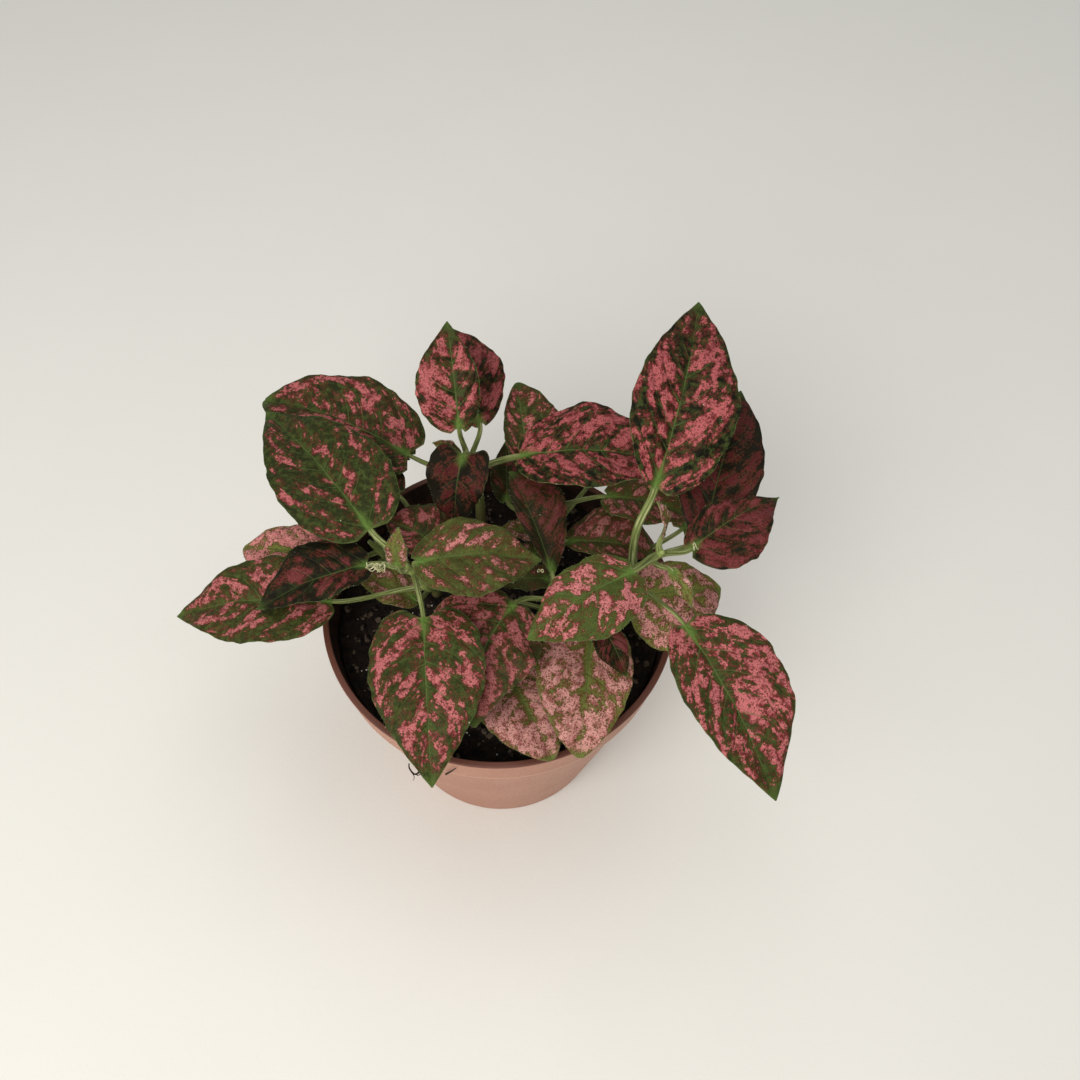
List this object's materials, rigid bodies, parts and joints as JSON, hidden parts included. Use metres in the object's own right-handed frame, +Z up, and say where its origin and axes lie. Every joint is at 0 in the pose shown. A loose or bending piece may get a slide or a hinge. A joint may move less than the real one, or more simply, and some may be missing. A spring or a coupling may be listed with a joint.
{
  "type": "potted polka dot plant",
  "caption": "Polka dot plant with pink blotched green leaves on several soft stems, growing in soil in a round tapered nursery pot with a rim band.",
  "frame": {"origin": "middle of the pot's flat underside, where it stands", "axes": "+Z up along the pot's axis; the side towards the viewer of the picture is -Y, +X is to that viewer's right"},
  "size_m": [0.1693, 0.1334, 0.1474],
  "materials": {
    "pot_plastic": "smooth matte terracotta-coloured plastic",
    "potting_soil": "dark moist peaty soil with a few pale grains",
    "stem_green": "soft pale green stem with fine hairs",
    "leaf_blade": "satin leaf, pink blotches on dark green with green veins"
  },
  "bodies": {
    "root": {"pot": "pot_plastic", "soil": "potting_soil", "stem_back": "stem_green", "leaf_back_1": "leaf_blade", "leaf_back_2": "leaf_blade", "leaf_back_3": "leaf_blade", "leaf_back_4": "leaf_blade", "leaf_back_5": "leaf_blade", "leaf_back_6": "leaf_blade", "stem_left": "stem_green", "leaf_left_1": "leaf_blade", "leaf_left_2": "leaf_blade", "leaf_left_3": "leaf_blade", "leaf_left_4": "leaf_blade", "leaf_left_5": "leaf_blade", "leaf_left_6": "leaf_blade", "leaf_left_7": "leaf_blade", "leaf_left_8": "leaf_blade", "stem_right": "stem_green", "leaf_right_1": "leaf_blade", "leaf_right_2": "leaf_blade", "leaf_right_3": "leaf_blade", "leaf_right_4": "leaf_blade", "leaf_right_5": "leaf_blade", "leaf_right_6": "leaf_blade", "leaf_right_7": "leaf_blade", "stem_front": "stem_green", "leaf_front_1": "leaf_blade", "leaf_front_2": "leaf_blade", "leaf_front_3": "leaf_blade", "leaf_front_4": "leaf_blade", "leaf_front_5": "leaf_blade", "leaf_front_6": "leaf_blade", "leaf_front_7": "leaf_blade", "stem_inner": "stem_green", "leaf_inner_1": "leaf_blade", "leaf_inner_2": "leaf_blade", "leaf_inner_3": "leaf_blade", "leaf_inner_4": "leaf_blade", "leaf_inner_5": "leaf_blade", "leaf_inner_6": "leaf_blade", "stem_side": "stem_green", "leaf_side_1": "leaf_blade", "leaf_side_2": "leaf_blade", "leaf_side_3": "leaf_blade"}
  },
  "joints": []
}
